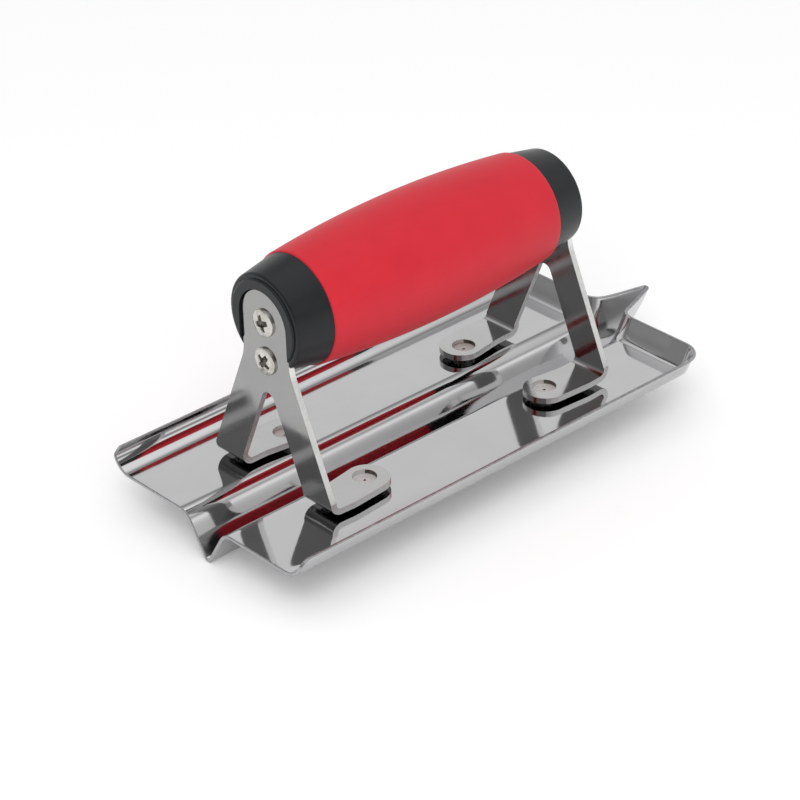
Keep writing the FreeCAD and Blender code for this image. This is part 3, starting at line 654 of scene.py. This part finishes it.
def blade_mesh():
    """Closed shell of the pressed sheet with a rounded edge, and the index of its first edge face."""
    sole = sole_net()
    top = sole + net_normals(sole) * GAUGE
    section_weights = spline_basis(sole.shape[0], span_samples(sole.shape[0] - 3, SECTION_SAMPLES))
    length_samples = span_samples(sole.shape[1] - 3, LENGTH_SAMPLES, CUT_SAMPLES)
    length_weights = spline_basis(sole.shape[1], length_samples)
    grids = [np.einsum("ai,ijk,bj->abk", section_weights, net, length_weights) for net in (sole, top)]
    rows, columns = grids[0].shape[:2]
    ring = edge_ring(rows, columns)
    low, high = (np.array([grid[place] for place in ring]) for grid in grids)
    out = edge_directions(low, high)
    half_thickness = (high - low) / 2
    low, high = low - out * EDGE_ROUND, high - out * EDGE_ROUND
    for grid, edge in zip(grids, (low, high)):
        for place, point in zip(ring, edge):
            grid[place] = point

    points = [grid.reshape(-1, 3) for grid in grids]
    faces = []
    for layer, offset in enumerate((0, rows * columns)):
        for row in range(rows - 1):
            for column in range(columns - 1):
                corner = offset + row * columns + column
                quad = [corner, corner + 1, corner + columns + 1, corner + columns]
                faces.append(quad if layer else quad[::-1])
    first_edge_face = len(faces)

    loops = [[row * columns + column for row, column in ring]]
    start = 2 * rows * columns
    for step, angle in enumerate(np.radians(EDGE_TURN)):
        bulge = math.cos(angle) ** EDGE_FULLNESS * EDGE_ROUND
        points.append((low + high) / 2 + half_thickness * math.sin(angle) + out * bulge)
        loops.append([start + step * len(ring) + i for i in range(len(ring))])
    loops.append([rows * columns + i for i in loops[0]])
    for first, second in zip(loops, loops[1:]):
        for i in range(len(ring)):
            j = (i + 1) % len(ring)
            faces.append([first[i], first[j], second[j], second[i]])

    middle = np.array([-SPOUT_REACH / 2, 0, BIT_DEPTH])
    mesh = bpy.data.meshes.new("blade_sheet")
    mesh.from_pydata(((np.vstack(points) + middle) * MM).tolist(), [], faces)
    outward(mesh)
    shade_smooth(mesh, SHEET_SHARP_DEGREES)
    return mesh, first_edge_face


def add_blade():
    mesh, first_edge_face = blade_mesh()
    blade = new_piece("blade_sheet", mesh, "blade", polished_steel())
    weigh_normals(blade)
    mesh.materials.append(sheared_edge("sheet_edge", (0.34, 0.34, 0.35), (0.46, 0.46, 0.47)))
    for face in mesh.polygons[first_edge_face:]:
        face.material_index = 1


# ---------------------------------------------------------------- grip

GRIP_HEIGHT = 62.6        # barrel axis, mm
GRIP_MIDDLE = -8.85
SLEEVE_HALF = 40.65
GRIP_RADIUS = 18.19
SLEEVE_END_RADIUS = 15.8
SLEEVE_BORE = 13.9
SLEEVE_EDGE = 0.55        # rounding of the sleeve's two end edges
CROWN_MARGIN = 1.2        # the crown's points stop this far short of the ends
CROWN_POINTS = 72
TURN_STEPS = 160
CORE_BEVEL = 0.25


def barrel_radius(x):
    """Crowned outside of the sleeve."""
    return GRIP_RADIUS - (GRIP_RADIUS - SLEEVE_END_RADIUS) * (x / SLEEVE_HALF) ** 2


def rounded(start, corner, end, radius, steps):
    """Points of an arc that rounds a corner between two straight runs."""
    corner = np.array(corner, float)
    before = np.array(start, float) - corner
    after = np.array(end, float) - corner
    before /= np.linalg.norm(before)
    after /= np.linalg.norm(after)
    half = math.acos(np.clip(before @ after, -1, 1)) / 2
    first, last = corner + before * radius / math.tan(half), corner + after * radius / math.tan(half)
    bisector = (before + after) / np.linalg.norm(before + after)
    centre = corner + bisector * radius / math.sin(half)
    shares = np.linspace(0, 1, steps + 1)
    blend = [first + (last - first) * s - centre for s in shares]
    return [tuple(centre + b / np.linalg.norm(b) * radius) for b in blend]


def turned_mesh(name, profile):
    """Closed profile of (x, radius) points in mm turned about the barrel axis."""
    angles = np.arange(TURN_STEPS) * 2 * math.pi / TURN_STEPS
    points = [(x + GRIP_MIDDLE, radius * math.cos(angle), GRIP_HEIGHT + radius * math.sin(angle))
              for angle in angles for x, radius in profile]
    count = len(profile)
    faces = []
    for turn in range(TURN_STEPS):
        following = (turn + 1) % TURN_STEPS
        for i in range(count):
            j = (i + 1) % count
            faces.append([turn * count + i, turn * count + j, following * count + j, following * count + i])
    mesh = bpy.data.meshes.new(name)
    mesh.from_pydata((np.array(points) * MM).tolist(), [], faces)
    outward(mesh)
    shade_smooth(mesh, TURNED_SHARP_DEGREES)
    return mesh


def sleeve_mesh():
    """Soft sleeve with a crowned outside, rounded end edges and a straight bore."""
    reach = SLEEVE_HALF - CROWN_MARGIN
    crown = [(x, barrel_radius(x)) for x in np.linspace(-reach, reach, CROWN_POINTS)]
    corner = (SLEEVE_HALF, barrel_radius(SLEEVE_HALF))
    right = rounded(crown[-1], corner, (SLEEVE_HALF, SLEEVE_BORE), SLEEVE_EDGE, 6)
    left = [(-x, radius) for x, radius in right[::-1]]
    bore = [(SLEEVE_HALF, SLEEVE_BORE), (-SLEEVE_HALF, SLEEVE_BORE)]
    return turned_mesh("grip_sleeve_skin", left + crown + right + bore)


def add_grip():
    new_piece("grip_sleeve_skin", sleeve_mesh(), "grip_sleeve", red_rubber())
    softened_copy("grip_core_moulding", "grip_core", black_plastic(), CORE_BEVEL * MM)


# ---------------------------------------------------------------- screws

HEAD_RADIUS = 3.9
HEAD_RISE = 1.3
HEAD_RIM = 0.6            # height of the head's side under its dome
SHANK_RADIUS = 1.9
SCREW_LENGTH = 16.0
RECESS_SPAN = 2.3         # half the cross recess, tip to tip
RECESS_SLOT = 0.85        # half the width of one arm at the middle
RECESS_ARM_TAPER = 0.35   # share of that width lost at the tip
RECESS_DEPTH = 1.15
RECESS_FLOOR_RISE = 0.55  # share of the depth lost at the tip
RECESS_WALL = 0.28        # width of the recess's sloping walls
RECESS_EDGE = 0.25        # below this share of its depth the recess gets painted shade
SCREW_STEPS = 128
# Radii of the rings of points on the head: close over the recess, wider over the rest of the dome.
HEAD_RINGS = np.concatenate([np.linspace(0.12, 2.6, 26), np.linspace(2.75, HEAD_RADIUS - 0.12, 8)])
SCREW_HEIGHTS = {"upper": 62.6, "lower": 51.3}


def recess_depth(y, z, turn):
    """How deep the cross recess is at a place on the head."""
    across = abs(y * math.cos(turn) - z * math.sin(turn))
    along = abs(y * math.sin(turn) + z * math.cos(turn))
    short, long = sorted((across, along))
    outward_share = long / RECESS_SPAN
    inside = min(RECESS_SLOT * (1 - RECESS_ARM_TAPER * outward_share) - short, RECESS_SPAN - long)
    wall = min(max(inside / RECESS_WALL + 0.5, 0.0), 1.0)
    return RECESS_DEPTH * (1 - RECESS_FLOOR_RISE * outward_share) * wall * wall * (3 - 2 * wall)


def head_height(y, z, turn):
    """Height of the domed head over the tab at a place on it."""
    dome = HEAD_RISE - (HEAD_RISE - HEAD_RIM) * (y * y + z * z) / HEAD_RADIUS ** 2
    return dome - recess_depth(y, z, turn)


def screw_mesh(name, outward_sign, face_x, height, turn):
    """Pan-head screw with a cross recess, its head on the tab's outer face."""
    angles = np.arange(SCREW_STEPS) * 2 * math.pi / SCREW_STEPS
    rings = [[(r, head_height(r * math.cos(a), r * math.sin(a), turn)) for a in angles] for r in HEAD_RINGS]
    side = ((HEAD_RADIUS - 0.03, HEAD_RIM - 0.02), (HEAD_RADIUS, HEAD_RIM - 0.12), (HEAD_RADIUS, 0.0),
            (SHANK_RADIUS, 0.0), (SHANK_RADIUS, SHANK_RADIUS - SCREW_LENGTH), (0.1, -SCREW_LENGTH))
    rings += [[ring] * SCREW_STEPS for ring in side]
    points = [(outward_sign * h, r * math.cos(a), r * math.sin(a)) for ring in rings
              for (r, h), a in zip(ring, angles)]
    points += [(outward_sign * head_height(0, 0, turn), 0, 0), (-outward_sign * SCREW_LENGTH, 0, 0)]
    faces = []
    for k in range(len(rings) - 1):
        for i in range(SCREW_STEPS):
            j = (i + 1) % SCREW_STEPS
            faces.append([k * SCREW_STEPS + i, k * SCREW_STEPS + j,
                          (k + 1) * SCREW_STEPS + j, (k + 1) * SCREW_STEPS + i])
    last = (len(rings) - 1) * SCREW_STEPS
    for i in range(SCREW_STEPS):
        j = (i + 1) % SCREW_STEPS
        faces += [[i, j, len(points) - 2], [last + i, last + j, len(points) - 1]]
    mesh = bpy.data.meshes.new(name)
    mesh.from_pydata(((np.array(points) + (face_x, 0, height)) * MM).tolist(), [], faces)
    outward(mesh)
    shade_smooth(mesh, TURNED_SHARP_DEGREES)
    return mesh


def add_screw(name, outward_sign, face_x, height, turn, steel, recess_shade):
    mesh = screw_mesh(name, outward_sign, face_x, height, turn)
    new_piece(f"{name}_turned", mesh, name, steel)

    def in_recess(centre, _):
        y, z = centre.y / MM, centre.z / MM - height
        on_head = outward_sign * (centre.x / MM - face_x) > 0
        return on_head and recess_depth(y, z, turn) > RECESS_DEPTH * RECESS_EDGE

    # Painted shade: the deep part of the cross recess gets the dark recess material.
    extra_material(mesh, recess_shade, in_recess)


# ---------------------------------------------------------------- brackets

STRIP_BEVEL = 0.2
WELD_OFFSET, WELD_SPREAD = 18.0, 16.2     # weld centres from the tab's outer face and the centre plane
FLOOR_RADIUS = 3.2        # the recess's floor lies within this
WALL_RADIUS = 3.65        # and its wall within this
DIMPLE_HEIGHTS = (13.8, 14.2)
FLOOR_HEIGHTS = (14.2, 14.45)
WALL_HEIGHTS = (14.45, 15.4)
WALL_FACING = 0.8         # a recess's wall faces up by less than this
EDGE_FACING = 0.75        # a strip's cut edges face sideways by at least this much


def between(value, limits):
    """Whether a length in metres lies between two limits in mm."""
    return limits[0] * MM < value < limits[1] * MM


def add_bracket(end, outward_sign, face_x, strip, mark, recess_shade, cut_edge_glint):
    """Bent strip with its weld recesses and its cut edges told apart: painted shade in the recesses and a
    painted highlight on the cut edges.
    """
    bracket = softened_copy(f"{end}_bracket_strip", f"{end}_bracket", strip,
                            STRIP_BEVEL * MM)
    weld_x = (face_x - outward_sign * WELD_OFFSET) * MM

    def near_weld(centre, radius):
        return math.hypot(centre.x - weld_x, abs(centre.y) - WELD_SPREAD * MM) < radius * MM

    def on_floor(centre, _):
        return near_weld(centre, FLOOR_RADIUS) and between(centre.z, FLOOR_HEIGHTS)

    def in_shade(centre, normal):
        on_wall = between(centre.z, WALL_HEIGHTS) and abs(normal.z) < WALL_FACING
        return near_weld(centre, WALL_RADIUS) and (between(centre.z, DIMPLE_HEIGHTS) or on_wall)

    def on_edge(centre, normal):
        return abs(normal.y) > EDGE_FACING and centre.z > WALL_HEIGHTS[0] * MM

    extra_material(bracket.data, mark, on_floor)
    # Painted shade: the walls and dimples of the weld recesses get the dark recess material.
    extra_material(bracket.data, recess_shade, in_shade)
    extra_material(bracket.data, cut_edge_glint, on_edge)


# ---------------------------------------------------------------- assembly

# Each end: which way its tab faces, its tab's outer face, and how far each of its screws was turned.
ENDS = {"front": (-1, -60.15, {"upper": 0.35, "lower": 0.95}),
        "rear": (1, 42.85, {"upper": 0.62, "lower": 0.2})}


def add_ends():
    strip, screw = bracket_steel(), screw_steel()
    mark, recess_shade = weld_mark(), painted_recess_shade()
    # The strips' cut edges get a very light base colour: a painted highlight for the bright light they
    # reflect, on a rough cut edge.
    cut_edge_glint = sheared_edge("strip_edge_painted_glint", (0.72, 0.72, 0.71), (0.84, 0.84, 0.83))
    for end, (outward_sign, face_x, turns) in ENDS.items():
        add_bracket(end, outward_sign, face_x, strip, mark, recess_shade, cut_edge_glint)
        for row, height in SCREW_HEIGHTS.items():
            add_screw(f"{end}_{row}_screw", outward_sign, face_x, height, turns[row], screw, recess_shade)


make_camera()
make_world()
make_floor()
make_key_light()
add_blade()
add_grip()
add_ends()

bpy.context.scene.view_settings.view_transform = "Standard"
bpy.context.view_layer.update()
